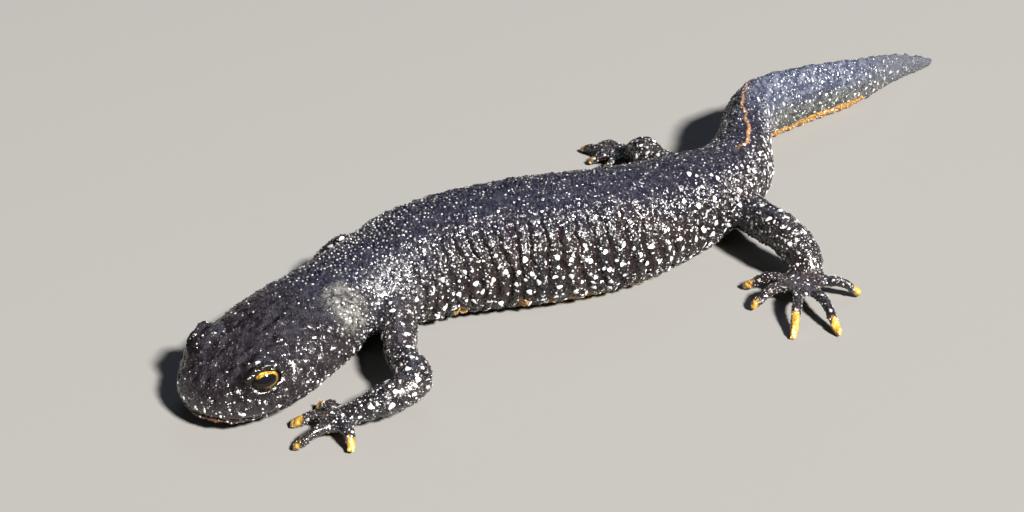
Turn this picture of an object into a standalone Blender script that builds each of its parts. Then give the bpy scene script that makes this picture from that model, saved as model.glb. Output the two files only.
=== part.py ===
"""Great crested newt, an adult at rest: a still, life-size model.

The body lies along Y with its head towards -Y, its belly on the floor and its
left side towards +X. The trunk curves gently, the head turns a little to the
left, and the tail stands on its lower edge in a flat S. Each sub-part is one
closed solid, parted from its neighbour by a thin cut.
"""

import math

import bmesh
import bpy
import numpy as np
from mathutils import Matrix, Vector

# The dimensions below are in millimetres
MM = 0.001

# Space kept between two sub-parts
GAP = 0.3

# Middle line of the body in plan, from the snout to the tip of the tail (x, y)
SPINE = (
    (12.5, -43.1), (10.8, -36.8), (8.2, -30.5), (5.3, -24.3), (4.0, -17.4),
    (4.1, -10.9), (5.5, -5.0), (7.1, 0.4), (8.2, 6.2), (8.0, 12.4),
    (6.6, 19.9), (3.6, 28.4), (-2.4, 34.8), (-8.6, 41.0), (-10.3, 49.5),
    (-11.6, 61.3), (-15.0, 72.8), (-16.3, 81.0),
)

# Points read from the smooth middle line, and how far to each side of a place
# its direction is taken
SPINE_SAMPLES = 400
SPINE_REACH = 0.5

# Sections of the body: distance from the snout, half width, height of the
# underside, of the widest line and of the back, and how square the section is
# above and below that line, where 2 is an ellipse and less is a blade
SECTIONS = (
    (0.3, 1.7, 1.8, 2.9, 4.2, 2.1, 2.0),
    (1.0, 3.3, 1.3, 2.8, 5.0, 2.2, 2.0),
    (2.0, 4.4, 1.1, 2.8, 5.6, 2.3, 2.0),
    (4.0, 5.6, 0.9, 3.0, 6.3, 2.4, 2.1),
    (6.5, 6.2, 0.8, 3.2, 6.9, 2.4, 2.2),
    (10.0, 6.8, 0.8, 3.6, 7.7, 2.4, 2.2),
    (13.0, 6.8, 0.7, 4.0, 8.0, 2.3, 2.2),
    (16.0, 6.5, 0.6, 4.2, 8.3, 2.2, 2.2),
    (19.0, 5.8, 0.5, 4.4, 8.6, 2.1, 2.2),
    (21.5, 5.4, 0.3, 4.6, 9.0, 2.1, 2.2),
    (24.5, 5.8, 0.0, 4.8, 9.6, 2.1, 2.2),
    (28.0, 6.8, -0.1, 5.0, 10.7, 2.1, 2.3),
    (34.0, 7.2, -0.2, 5.2, 11.7, 2.1, 2.4),
    (40.0, 7.6, -0.3, 5.4, 12.2, 2.1, 2.5),
    (46.0, 7.7, -0.3, 5.5, 12.4, 2.1, 2.5),
    (52.0, 7.5, -0.3, 5.5, 12.0, 2.1, 2.5),
    (58.0, 6.9, -0.3, 5.4, 11.3, 2.1, 2.5),
    (65.0, 6.0, -0.2, 5.1, 10.3, 2.1, 2.4),
    (71.0, 4.8, -0.2, 4.8, 9.5, 2.0, 2.3),
    (76.0, 4.4, -0.1, 4.7, 9.2, 1.9, 2.2),
    (82.0, 3.5, -0.1, 4.6, 9.3, 1.8, 2.1),
    (90.0, 3.1, -0.1, 4.5, 9.3, 1.7, 2.0),
    (100.0, 2.3, -0.1, 4.2, 8.6, 1.6, 1.9),
    (112.0, 1.6, -0.1, 3.4, 6.9, 1.6, 1.8),
    (122.0, 1.0, -0.1, 2.1, 4.6, 1.6, 1.8),
    (129.0, 0.6, -0.1, 1.0, 2.4, 1.7, 1.8),
    (132.6, 0.35, 0.05, 0.55, 1.2, 1.8, 1.8),
)
SNOUT_HEIGHT = 2.9
TAIL_END = 133.2
TAIL_END_HEIGHT = 0.6

# Lengths of the body: name, start, end, number of rings, points in a ring
LENGTHS = (
    ("head", 0.0, 20.5, 22, 36),
    ("neck", 20.5, 26.5, 6, 28),
    ("chest", 26.5, 40.0, 10, 28),
    ("belly", 40.0, 58.0, 14, 28),
    ("hips", 58.0, 80.0, 13, 28),
    ("tail_root", 80.0, 94.0, 9, 22),
    ("tail_middle", 94.0, 113.0, 11, 18),
    ("tail_tip", 113.0, TAIL_END, 10, 14),
)

# Shallow grooves between the ribs, on the flanks only
GROOVE_FIRST = 33.0
GROOVE_LAST = 67.0
GROOVE_PITCH = 3.4
GROOVE_DEPTH = 0.15

# Eyes: place on the head and size of the ball, its lids and their opening
EYE_ALONG = 5.8
EYE_ASIDE = 3.8
EYE_HEIGHT = 4.8
EYE_RADIUS = 1.9
LID_SIZES = (2.8, 2.25, 2.25)
LID_OPENING = (1.7, 1.1)
EYE_TURN = math.radians(22)
EYE_RISE = math.radians(24)

# Mouth: height of its line at distances from the snout, lips and the cleft
MOUTH_LINE = ((0.0, 2.25), (3.0, 2.0), (6.0, 2.1), (9.0, 2.5), (12.0, 3.1))
MOUTH_POINTS = 33
MOUTH_SAMPLES = 40
MOUTH_ROUNDS = 3
LIP_RADIUS = 0.6
LIP_SINK = 0.4
CLEFT_RADIUS = 0.2

# Nostrils
NOSTRIL_ALONG = 1.15
NOSTRIL_HEIGHT = 4.1
NOSTRIL_RADIUS = 0.3

# Radius of a digit at its root and near its tip
FINGER_RADIUS = (0.62, 0.5)
TOE_RADIUS = (0.68, 0.5)

# Limbs: points of the middle line with the radius there, from the root, sunk
# in the trunk, to just past the wrist or ankle, then the palm and the digits
ARM_LEFT = {
    "line": ((8.5, -19.2, 4.2, 2.4), (12.9, -20.9, 4.1, 1.9), (16.8, -22.7, 3.8, 1.65),
             (20.8, -23.2, 3.5, 1.75), (21.3, -26.6, 2.8, 1.6), (20.6, -29.4, 2.0, 1.2),
             (20.3, -30.9, 1.6, 0.9)),
    "palm": ((20.2, -31.2, 1.5), (1.9, 1.7, 0.9)),
    "digits": (((19.2, -30.4, 1.3), (17.6, -30.9, 1.5), (15.9, -31.4, 0.34)),
               ((19.4, -31.6, 1.3), (18.4, -33.2, 1.5), (17.3, -34.9, 0.34)),
               ((20.6, -31.9, 1.3), (20.9, -34.1, 1.5), (20.9, -36.3, 0.34)),
               ((21.2, -31.0, 1.3), (22.6, -31.3, 1.5), (23.9, -31.8, 0.34))),
    "digit_radius": FINGER_RADIUS,
}
ARM_RIGHT = {
    "line": ((1.0, -17.4, 4.6, 2.4), (-1.4, -17.9, 4.9, 2.0), (-3.4, -18.6, 4.8, 1.7),
             (-4.2, -20.0, 4.0, 1.6), (-3.2, -23.2, 2.4, 1.45), (-2.4, -27.0, 1.7, 1.15),
             (-2.1, -28.7, 1.6, 0.9)),
    "palm": ((-1.9, -29.0, 1.5), (1.9, 1.7, 0.9)),
    "digits": (((-1.2, -29.6, 1.3), (0.1, -30.3, 1.5), (1.3, -31.0, 0.34)),
               ((-1.5, -30.3, 1.3), (-0.9, -31.9, 1.5), (-0.2, -33.5, 0.34)),
               ((-2.4, -30.4, 1.3), (-2.5, -32.2, 1.5), (-2.6, -34.0, 0.34)),
               ((-2.9, -29.7, 1.3), (-3.6, -30.5, 1.5), (-4.2, -31.4, 0.34))),
    "digit_radius": FINGER_RADIUS,
}
LEG_LEFT = {
    "line": ((4.6, 25.8, 4.2, 2.6), (9.6, 25.0, 3.9, 2.4), (14.2, 24.4, 4.3, 2.25),
             (17.8, 24.4, 4.4, 2.25), (20.6, 24.6, 3.3, 2.1), (22.4, 24.2, 2.3, 1.7),
             (23.2, 22.8, 1.8, 1.0)),
    "palm": ((23.4, 22.6, 1.7), (2.1, 2.3, 1.0)),
    "digits": (((22.4, 21.6, 1.6), (21.0, 19.8, 1.9), (19.4, 18.0, 0.34)),
               ((23.3, 20.9, 1.6), (23.4, 18.4, 2.0), (23.3, 15.8, 0.34)),
               ((24.4, 21.3, 1.6), (27.0, 18.9, 2.0), (29.8, 16.2, 0.34)),
               ((24.8, 22.5, 1.6), (28.3, 21.6, 2.0), (31.8, 20.6, 0.34)),
               ((24.3, 23.9, 1.6), (25.8, 25.9, 1.9), (27.1, 27.8, 0.34))),
    "digit_radius": TOE_RADIUS,
}
LEG_RIGHT = {
    "line": ((2.0, 25.6, 4.2, 2.6), (-1.8, 24.3, 3.5, 2.3), (-5.9, 23.5, 3.5, 2.0),
             (-7.6, 23.8, 3.8, 2.0), (-9.8, 24.6, 2.9, 1.8), (-11.5, 24.9, 2.1, 1.4),
             (-12.6, 24.5, 1.6, 0.9)),
    "palm": ((-12.9, 24.2, 1.4), (2.1, 2.0, 0.8)),
    "digits": (((-12.0, 23.2, 1.3), (-11.4, 21.4, 1.5), (-11.2, 19.7, 0.34)),
               ((-13.0, 23.0, 1.3), (-13.9, 21.5, 1.4), (-14.6, 20.2, 0.34)),
               ((-14.1, 23.4, 1.3), (-15.9, 22.3, 1.4), (-18.4, 21.5, 0.34)),
               ((-14.4, 24.7, 1.3), (-16.2, 24.3, 1.4), (-18.2, 24.0, 0.34)),
               ((-13.8, 25.6, 1.3), (-14.0, 26.9, 1.4), (-14.2, 28.1, 0.34))),
    "digit_radius": TOE_RADIUS,
}
LIMBS = (
    ("left", ("upper_arm", "forearm", "hand"), ARM_LEFT),
    ("right", ("upper_arm", "forearm", "hand"), ARM_RIGHT),
    ("left", ("thigh", "shank", "foot"), LEG_LEFT),
    ("right", ("thigh", "shank", "foot"), LEG_RIGHT),
)
# Points of a limb's line where it is cut: elbow or knee, wrist or ankle
LIMB_CUTS = (3, 5)
LIMB_STEPS = 3
LIMB_SIDES = 3
DIGIT_STEPS = 2
# Blunt end of a digit: length in steps of its line, share of the radius there
DIGIT_END = (0.3, 0.5)
DIGIT_SIDES = 2

# Stretch of the trunk that cuts the roots of the limbs: start, end, rings, points
CUTTER = (15.0, 95.0, 60, 28)

# Colours, roughness and metallic value
SKIN = ((0.030, 0.028, 0.036, 1.0), 0.35, 0.0)
TAIL_SKIN = ((0.055, 0.060, 0.080, 1.0), 0.35, 0.0)
DIGIT_SKIN = ((0.120, 0.075, 0.035, 1.0), 0.35, 0.0)
EYE_GOLD = ((0.550, 0.330, 0.050, 1.0), 0.10, 0.0)


def clear_scene():
    """Remove every object that the file opened with."""
    for item in list(bpy.data.objects):
        bpy.data.objects.remove(item, do_unlink=True)


def new_collection(name):
    """A collection linked to the scene."""
    group = bpy.data.collections.new(name)
    bpy.context.scene.collection.children.link(group)
    return group


def finish(item, look):
    """Give a sub-part its own material."""
    colour, roughness, metallic = look
    material = bpy.data.materials.new(item.name)
    material.use_nodes = True
    shader = material.node_tree.nodes["Principled BSDF"]
    shader.inputs["Base Color"].default_value = colour
    shader.inputs["Roughness"].default_value = roughness
    shader.inputs["Metallic"].default_value = metallic
    item.data.materials.clear()
    item.data.materials.append(material)
    item.data.shade_smooth()


def hermite(keys, values, at):
    """Smooth curve through values given at rising keys."""
    keys = np.asarray(keys, float)
    values = np.asarray(values, float)
    slopes = np.gradient(values, keys, axis=0)
    i = int(np.clip(np.searchsorted(keys, at) - 1, 0, len(keys) - 2))
    span = keys[i + 1] - keys[i]
    t = min(max((at - keys[i]) / span, 0.0), 1.0)
    start = (2 * t ** 3 - 3 * t ** 2 + 1) * values[i] + (t ** 3 - 2 * t ** 2 + t) * span * slopes[i]
    end = (3 * t ** 2 - 2 * t ** 3) * values[i + 1] + (t ** 3 - t ** 2) * span * slopes[i + 1]
    return start + end


def measure_spine():
    """Points of the smooth middle line and their distances from the snout."""
    marks = np.array(SPINE)
    chords = np.hypot(*np.diff(marks, axis=0).T)
    keys = np.concatenate([[0.0], np.cumsum(chords)])
    points = np.array([hermite(keys, marks, k) for k in np.linspace(0, keys[-1], SPINE_SAMPLES)])
    steps = np.hypot(*np.diff(points, axis=0).T)
    along = np.concatenate([[0.0], np.cumsum(steps)])
    return points, along * TAIL_END / along[-1]


SPINE_POINTS, SPINE_ALONG = measure_spine()


def spine_place(along):
    """Point of the middle line in plan and the direction to the animal's left."""
    middle = np.array([np.interp(along, SPINE_ALONG, SPINE_POINTS[:, k]) for k in (0, 1)])
    ahead, behind = (
        np.array([np.interp(along + step, SPINE_ALONG, SPINE_POINTS[:, k]) for k in (0, 1)])
        for step in (SPINE_REACH, -SPINE_REACH))
    back = (ahead - behind) / np.linalg.norm(ahead - behind)
    return middle, np.array([back[1], -back[0]])


def body_point(along, aside, height):
    """Place given in the body's own measures, as a point in metres."""
    middle, left = spine_place(along)
    plan = middle + left * aside
    return Vector((plan[0], plan[1], height)) * MM


def section_sizes(along):
    """Sizes of the body's section at a distance from the snout."""
    rows = np.array(SECTIONS)
    return hermite(rows[:, 0], rows[:, 1:], along)


def groove_depth(along):
    """How deep the flank's grooves are at a distance from the snout."""
    if not GROOVE_FIRST < along < GROOVE_LAST:
        return 0.0
    wave = math.cos(2 * math.pi * (along - GROOVE_FIRST) / GROOVE_PITCH)
    return GROOVE_DEPTH * (0.5 - 0.5 * wave)


def section_ring(along, count, swell=0.0):
    """One ring of the body's skin, its points counted from the left flank up."""
    half, under, widest, back, upper, lower = section_sizes(along)
    ring = []
    for k in range(count):
        turn = 2 * math.pi * k / count
        across = math.cos(turn)
        rise = math.sin(turn)
        power = upper if rise >= 0 else lower
        depth = (back - widest if rise >= 0 else widest - under) + swell
        flank = half + swell - groove_depth(along) * across * across
        aside = math.copysign(abs(across) ** (2 / power), across) * flank
        height = widest + math.copysign(abs(rise) ** (2 / power), rise) * depth
        ring.append(body_point(along, aside, height))
    return ring


def flank_place(along, height):
    """How far the skin lies from the middle line at a height on the flank."""
    half, under, widest, back, upper, lower = section_sizes(along)
    power = upper if height >= widest else lower
    depth = back - widest if height >= widest else widest - under
    share = min(abs(height - widest) / depth, 1.0)
    return half * (1 - share ** power) ** (1 / power)


def loft(name, rings, start=None, end=None):
    """Closed solid through rings, its ends flat or drawn to a point."""
    mesh = bmesh.new()
    loops = [[mesh.verts.new(p) for p in ring] for ring in rings]
    count = len(loops[0])
    for first, second in zip(loops, loops[1:]):
        for k in range(count):
            n = (k + 1) % count
            mesh.faces.new((first[k], first[n], second[n], second[k]))
    for loop, point in ((loops[0], start), (loops[-1], end)):
        if point is None:
            mesh.faces.new(loop)
            continue
        tip = mesh.verts.new(point)
        for k in range(count):
            mesh.faces.new((loop[k], loop[(k + 1) % count], tip))
    bmesh.ops.recalc_face_normals(mesh, faces=mesh.faces)
    return add_object(name, mesh)


def add_object(name, mesh, group=None):
    """Object made of a bmesh, in the model's collection unless another is given."""
    data = bpy.data.meshes.new(name)
    mesh.to_mesh(data)
    mesh.free()
    item = bpy.data.objects.new(name, data)
    (group or MODEL).objects.link(item)
    return item


def remake(item, mesh):
    """Put a bmesh in place of an object's mesh."""
    mesh.to_mesh(item.data)
    mesh.free()
    item.data.update()


def tube(name, points, radii, sides, group=None):
    """Round tube of changing radius, made as a curve and turned into a mesh."""
    curve = bpy.data.curves.new(name, "CURVE")
    curve.dimensions = "3D"
    curve.bevel_depth = MM
    curve.bevel_resolution = sides
    curve.use_fill_caps = True
    spline = curve.splines.new("POLY")
    spline.points.add(len(points) - 1)
    for knot, point, radius in zip(spline.points, points, radii):
        knot.co = (*(Vector(point) * MM), 1.0)
        knot.radius = radius
    guide = bpy.data.objects.new(name + "_line", curve)
    bpy.context.scene.collection.objects.link(guide)
    ready = guide.evaluated_get(bpy.context.evaluated_depsgraph_get())
    data = bpy.data.meshes.new_from_object(ready)
    mesh = bmesh.new()
    mesh.from_mesh(data)
    bmesh.ops.remove_doubles(mesh, verts=mesh.verts, dist=1e-6)
    bmesh.ops.recalc_face_normals(mesh, faces=mesh.faces)
    bpy.data.objects.remove(guide, do_unlink=True)
    return add_object(name, mesh, group)


def ball(name, centre, sizes, turn=None, group=None, segments=16, rings=10):
    """Ellipsoid with its half axes in millimetres."""
    mesh = bmesh.new()
    bmesh.ops.create_uvsphere(mesh, u_segments=segments, v_segments=rings, radius=1.0)
    shape = Matrix.Diagonal((*[size * MM for size in sizes], 1.0))
    place = Matrix.Translation(centre) @ (turn or Matrix.Identity(4)) @ shape
    bmesh.ops.transform(mesh, matrix=place, verts=mesh.verts)
    return add_object(name, mesh, group)


def boolean(item, operation, group):
    """Join or cut an object with a collection, and remove the collection."""
    change = item.modifiers.new(operation.lower(), "BOOLEAN")
    change.operation = operation
    change.operand_type = "COLLECTION"
    change.collection = group
    change.solver = "EXACT"
    bpy.context.view_layer.update()
    ready = item.evaluated_get(bpy.context.evaluated_depsgraph_get())
    data = bpy.data.meshes.new_from_object(ready)
    item.modifiers.clear()
    item.data = data
    for piece in list(group.objects):
        bpy.data.objects.remove(piece, do_unlink=True)
    bpy.data.collections.remove(group)
    keep_largest(item)


def keep_largest(item):
    """Merge stray doubles and keep only the largest closed surface."""
    mesh = bmesh.new()
    mesh.from_mesh(item.data)
    bmesh.ops.remove_doubles(mesh, verts=mesh.verts, dist=0.002 * MM)
    bmesh.ops.dissolve_degenerate(mesh, edges=mesh.edges, dist=0.002 * MM)
    left = set(mesh.verts)
    islands = []
    while left:
        seed = left.pop()
        island = {seed}
        fresh = [seed]
        while fresh:
            vert = fresh.pop()
            for edge in vert.link_edges:
                other = edge.other_vert(vert)
                if other in left:
                    left.discard(other)
                    island.add(other)
                    fresh.append(other)
        islands.append(island)
    islands.sort(key=len, reverse=True)
    stray = [vert for island in islands[1:] for vert in island]
    bmesh.ops.delete(mesh, geom=stray, context="VERTS")
    remake(item, mesh)


def slice_off(item, point, normal):
    """Cut away what lies beyond a plane, and close the cut."""
    mesh = bmesh.new()
    mesh.from_mesh(item.data)
    geometry = mesh.verts[:] + mesh.edges[:] + mesh.faces[:]
    bmesh.ops.bisect_plane(
        mesh, geom=geometry, plane_co=point, plane_no=normal, clear_outer=True, dist=1e-7)
    rim = [edge for edge in mesh.edges if edge.is_boundary]
    if rim:
        bmesh.ops.edgeloop_fill(mesh, edges=rim)
    bmesh.ops.recalc_face_normals(mesh, faces=mesh.faces)
    remake(item, mesh)


def copy_of(item, name):
    """Object with its own copy of another's mesh."""
    twin = bpy.data.objects.new(name, item.data.copy())
    MODEL.objects.link(twin)
    return twin


def body_length(name, start, end, rings, count):
    """One length of head, trunk or tail, short of its neighbours by half the gap."""
    first = start + GAP / 2 if start > 0 else SECTIONS[0][0]
    last = end - GAP / 2 if end < TAIL_END else SECTIONS[-1][0]
    places = np.linspace(first, last, rings)
    if start == 0:
        places = first + (last - first) * np.linspace(0, 1, rings) ** 1.5
    loops = [section_ring(place, count) for place in places]
    snout = body_point(0, 0, SNOUT_HEIGHT) if start == 0 else None
    tip = body_point(TAIL_END, 0, TAIL_END_HEIGHT) if end == TAIL_END else None
    return loft(name, loops, snout, tip)


def mouth_height(along):
    """Height of the mouth's line at a distance from the snout."""
    marks = np.array(MOUTH_LINE)
    return hermite(marks[:, 0], marks[:, 1], along)


def mouth_outline():
    """Even points on the skin, as distance along and aside, from corner to corner."""
    first, last = SECTIONS[0][0], MOUTH_LINE[-1][0]
    places = first + (last - first) * np.linspace(0, 1, MOUTH_SAMPLES) ** 2
    side = np.array([(place, flank_place(place, mouth_height(place))) for place in places])
    outline = np.vstack([side[::-1], side * (1, -1)])
    for turn in range(MOUTH_ROUNDS):
        steps = np.hypot(*np.diff(outline, axis=0).T)
        reach = np.concatenate([[0.0], np.cumsum(steps)])
        even = np.linspace(0, reach[-1], MOUTH_POINTS)
        outline = np.stack([np.interp(even, reach, outline[:, k]) for k in (0, 1)], axis=1)
        outline[1:-1] = (outline[:-2] + 2 * outline[1:-1] + outline[2:]) / 4
    return outline


def mouth_tube(name, radius, inward, group):
    """Tube along the mouth, its middle line sunk in the skin."""
    outline = mouth_outline()
    course = np.gradient(outline, axis=0)
    course /= np.linalg.norm(course, axis=1)[:, None]
    share = np.abs(np.linspace(-1, 1, MOUTH_POINTS))
    radii = radius * np.minimum(1.0, 0.3 + 3.0 * (1 - share))
    line = outline + np.stack([-course[:, 1], course[:, 0]], axis=1) * inward
    points = [body_point(along, aside, mouth_height(along)) / MM for along, aside in line]
    return tube(name, points, radii, 2, group)


def eye_centre(side):
    """Middle of an eyeball."""
    return body_point(EYE_ALONG, side * EYE_ASIDE, EYE_HEIGHT)


def eye_frame(side):
    """Turn that takes Z to the way an eye looks, and X along the head."""
    left = spine_place(EYE_ALONG)[1]
    forward = Vector((left[1], -left[0], 0.0))
    aside = Vector((left[0], left[1], 0.0)) * side
    level = aside * math.cos(EYE_TURN) + forward * math.sin(EYE_TURN)
    look = (level * math.cos(EYE_RISE) + Vector((0, 0, math.sin(EYE_RISE)))).normalized()
    lengthwise = (forward - look * forward.dot(look)).normalized()
    upward = look.cross(lengthwise)
    return Matrix((lengthwise, upward, look)).transposed().to_4x4()


def build_head(head):
    """Lids, lips, mouth line, nostrils and eye sockets on the plain head."""
    added = new_collection("head_forms")
    for side in (1, -1):
        ball("lid", eye_centre(side), LID_SIZES, eye_frame(side), added)
    mouth_tube("lips", LIP_RADIUS, LIP_SINK, added)
    boolean(head, "UNION", added)

    cut = new_collection("head_cuts")
    for side in (1, -1):
        turn = eye_frame(side)
        centre = eye_centre(side)
        look = turn.to_3x3() @ Vector((0, 0, 1))
        ball("socket", centre, [EYE_RADIUS + GAP] * 3, turn, cut)
        opening = (*LID_OPENING, 2.0)
        ball("opening", centre + look * EYE_RADIUS * MM, opening, turn, cut, 18, 8)
        aside = flank_place(NOSTRIL_ALONG, NOSTRIL_HEIGHT)
        place = body_point(NOSTRIL_ALONG, side * aside, NOSTRIL_HEIGHT)
        ball("nostril", place, [NOSTRIL_RADIUS] * 3, None, cut, 8, 6)
    mouth_tube("cleft", CLEFT_RADIUS, LIP_SINK - LIP_RADIUS, cut)
    boolean(head, "DIFFERENCE", cut)


def build_eye(name, side):
    """Eyeball, whose pole faces the way that it looks."""
    return ball(name, eye_centre(side), [EYE_RADIUS] * 3, eye_frame(side))


def smooth_line(knots, steps):
    """Points and radii of a smooth line through knots of x, y, z and radius."""
    knots = np.array(knots, float)
    places = np.linspace(0, len(knots) - 1, (len(knots) - 1) * steps + 1)
    return np.array([hermite(np.arange(len(knots)), knots, place) for place in places])


def build_digits(limb, group):
    """Digits from inside the palm to their blunt tips on the floor."""
    root_radius, tip_radius = limb["digit_radius"]
    for digit in limb["digits"]:
        points = smooth_line(digit, DIGIT_STEPS)
        share = np.linspace(0, 1, len(points))
        radii = root_radius + (tip_radius - root_radius) * share
        points = np.vstack([points, points[-1] + (points[-1] - points[-2]) * DIGIT_END[0]])
        radii = np.append(radii, tip_radius * DIGIT_END[1])
        tube("digit", points, radii, DIGIT_SIDES, group)


def build_limb(side, names, limb, trunk):
    """Whole limb, cut from the trunk and into its three pieces."""
    line = smooth_line(limb["line"], LIMB_STEPS)
    whole = tube("limb", line[:, :3], line[:, 3], LIMB_SIDES)
    cuts = [(Vector(line[k * LIMB_STEPS][:3]) * MM,
             Vector(line[k * LIMB_STEPS][:3] - line[k * LIMB_STEPS - 1][:3]).normalized())
            for k in LIMB_CUTS]
    root, palm, digits = (new_collection(name) for name in ("limb_root", "palm", "digits"))
    root.objects.link(trunk)
    centre, sizes = limb["palm"]
    ball("palm", Vector(centre) * MM, sizes, None, palm, 14, 8)
    build_digits(limb, digits)
    pieces = []
    for number, name in enumerate(names):
        piece = copy_of(whole, f"{name}_{side}")
        if number == 2:
            boolean(piece, "UNION", palm)
        if number > 0:
            point, normal = cuts[number - 1]
            slice_off(piece, point + normal * GAP / 2 * MM, -normal)
        if number < 2:
            point, normal = cuts[number]
            slice_off(piece, point - normal * GAP / 2 * MM, normal)
        keep_largest(piece)
        pieces.append(piece)
    bpy.data.objects.remove(whole, do_unlink=True)
    boolean(pieces[0], "DIFFERENCE", root)
    boolean(pieces[2], "UNION", digits)
    return pieces


def trunk_cutter():
    """The trunk, grown by the gap, that cuts the roots of the limbs."""
    start, end, rings, count = CUTTER
    loops = [section_ring(place, count, GAP) for place in np.linspace(start, end, rings)]
    return loft("trunk_cutter", loops)


def settle(items):
    """Cut every sub-part flat at the floor and centre the model over the origin."""
    for item in items:
        slice_off(item, Vector((0, 0, 0)), Vector((0, 0, -1)))
        keep_largest(item)
    corners = np.array([vert.co[:] for item in items for vert in item.data.vertices])
    middle = (corners.min(axis=0) + corners.max(axis=0)) / 2
    shift = Matrix.Translation((-middle[0], -middle[1], 0.0))
    for item in items:
        item.data.transform(shift)


clear_scene()
MODEL = new_collection("great_crested_newt")

body = {}
for name, start, end, rings, count in LENGTHS:
    body[name] = body_length(name, start, end, rings, count)
build_head(body["head"])
eyes = [build_eye("eye_left", 1), build_eye("eye_right", -1)]

limbs = []
for side, names, limb in LIMBS:
    limbs += build_limb(side, names, limb, trunk_cutter())

settle(list(body.values()) + eyes + limbs)
for name, item in body.items():
    finish(item, TAIL_SKIN if name.startswith("tail") else SKIN)
for item in eyes:
    finish(item, EYE_GOLD)
for item in limbs:
    finish(item, DIGIT_SKIN if item.name.startswith(("hand", "foot")) else SKIN)
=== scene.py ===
"""Great crested newt: skin, warts and eyes of the still, life-size model.

One skin is grown over the solids, then shaped: furrows of the flanks, creases of the
neck, lids, nostrils and the line of the mouth. Granules and white warts are set on it
as small beads of real shape. The finest grain is left to the materials.
"""

import math

import bmesh
import bpy
import numpy as np
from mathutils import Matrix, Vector, noise
from mathutils.kdtree import KDTree


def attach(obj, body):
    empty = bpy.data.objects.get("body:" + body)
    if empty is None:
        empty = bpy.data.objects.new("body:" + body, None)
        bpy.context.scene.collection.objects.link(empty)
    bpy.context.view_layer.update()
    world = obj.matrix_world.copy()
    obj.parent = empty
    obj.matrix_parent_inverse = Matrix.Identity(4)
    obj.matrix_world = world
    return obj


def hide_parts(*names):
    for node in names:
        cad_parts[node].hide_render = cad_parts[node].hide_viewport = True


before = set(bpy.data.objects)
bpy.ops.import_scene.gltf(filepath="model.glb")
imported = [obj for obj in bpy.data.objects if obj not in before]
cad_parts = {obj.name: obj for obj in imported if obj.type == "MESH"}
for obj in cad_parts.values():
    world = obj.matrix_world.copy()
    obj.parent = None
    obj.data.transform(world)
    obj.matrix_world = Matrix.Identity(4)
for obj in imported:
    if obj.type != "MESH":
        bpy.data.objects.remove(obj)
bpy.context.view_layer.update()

# Measures below are in millimetres unless they say otherwise
MM = 0.001

# Camera: where it looks, seen from the side of the head
CAMERA_TARGET = (-6.78, -18.88, 0.0)
CAMERA_AZIMUTH = 59.0
CAMERA_ELEVATION = 30.0
CAMERA_DISTANCE = 175.0
CAMERA_FIELD = 36.8
CAMERA_SENSOR = 36.0

# Lamps: azimuth and elevation in degrees, distance, width, power in watts and colour
LAMPS = {
    "key": (102, 42, 3400, 400, 580.0, (1.0, 0.97, 0.93)),
    "fill": (20, 40, 3400, 1520, 4.8, (0.92, 0.95, 1.0)),
    "sky": (235, 50, 3400, 1900, 20.0, (0.65, 0.75, 1.0)),
}
LAMP_TARGET = (0, 0, 5)
WORLD_COLOUR = (0.80, 0.88, 1.0, 1.0)
WORLD_STRENGTH = 0.025
FLOOR_COLOUR = (0.17, 0.167, 0.160, 1.0)
FLOOR_REACH = 2000.0

# From the body's own measures to the frame, in plan
BODY_SHIFT = np.array((-6.776, -18.880))

# Middle line of the body in plan, from the snout to the tip of the tail
SPINE = (
    (12.5, -43.1), (10.8, -36.8), (8.2, -30.5), (5.3, -24.3), (4.0, -17.4),
    (4.1, -10.9), (5.5, -5.0), (7.1, 0.4), (8.2, 6.2), (8.0, 12.4),
    (6.6, 19.9), (3.6, 28.4), (-2.4, 34.8), (-8.6, 41.0), (-10.3, 49.5),
    (-11.6, 61.3), (-15.0, 72.8), (-16.3, 81.0),
)
SPINE_PLACES = 400
BODY_LENGTH = 133.2

# Tips of the digits in plan, and how far back from each the orange reaches
DIGIT_TIPS = {
    "hand_left": ((15.9, -31.4, 0.8), (17.3, -34.9, 1.15), (20.9, -36.3, 0.7), (23.9, -31.8, 0.7)),
    "hand_right": ((1.3, -31.0, 0.8), (-0.2, -33.5, 0.8), (-2.6, -34.0, 0.8), (-4.2, -31.4, 0.7)),
    "foot_left": ((19.4, 18.0, 1.0), (23.3, 15.8, 0.8), (29.8, 16.2, 2.4), (31.8, 20.6, 1.3),
                  (27.1, 27.8, 0.9)),
    "foot_right": ((-11.2, 19.7, 0.6), (-14.6, 20.2, 0.5), (-18.4, 21.5, 0.6), (-18.2, 24.0, 0.5),
                   (-14.2, 28.1, 0.6)),
}

# Solids that the skin covers, and the first words of those that aren't limbs
FLESH = [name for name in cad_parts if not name.startswith("eye")]
TRUNK = ("head", "neck", "chest", "belly", "hips", "tail")

# Skin: how far the solids are swelled to meet, size of its squares, gap over the floor
SWELL = 0.24
SKIN_MESH = 0.42
SKIN_FLOOR = 0.02

# Spikes of the new skin: height that is drawn back, and passes
ROUGH_SPIKES = (0.105, 16)
FINE_SPIKES = (0.055, 20)

# Passes of smoothing: at full swell, drawn back, and with its squares halved
SMOOTH_PASSES = (24, 6, 4)

# Squares are halved on the face up to here, on the flank in this range, and on the feet
FINE_FACE_END = 15
FINE_FLANK = (23, 75)
FINE_FLANK_RISE = (0.06, 0.93)

# Eyes: place by the body's own measures, the way they look, size
EYE_ALONG = 5.8
EYE_ASIDE = 3.8
EYE_HEIGHT = 4.8
EYE_TURN = math.radians(22)
EYE_RISE = math.radians(24)
EYE_RADIUS = 2.08
IRIS_RADIUS = 1.60
CORNEA_HEIGHT = 0.10

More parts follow.
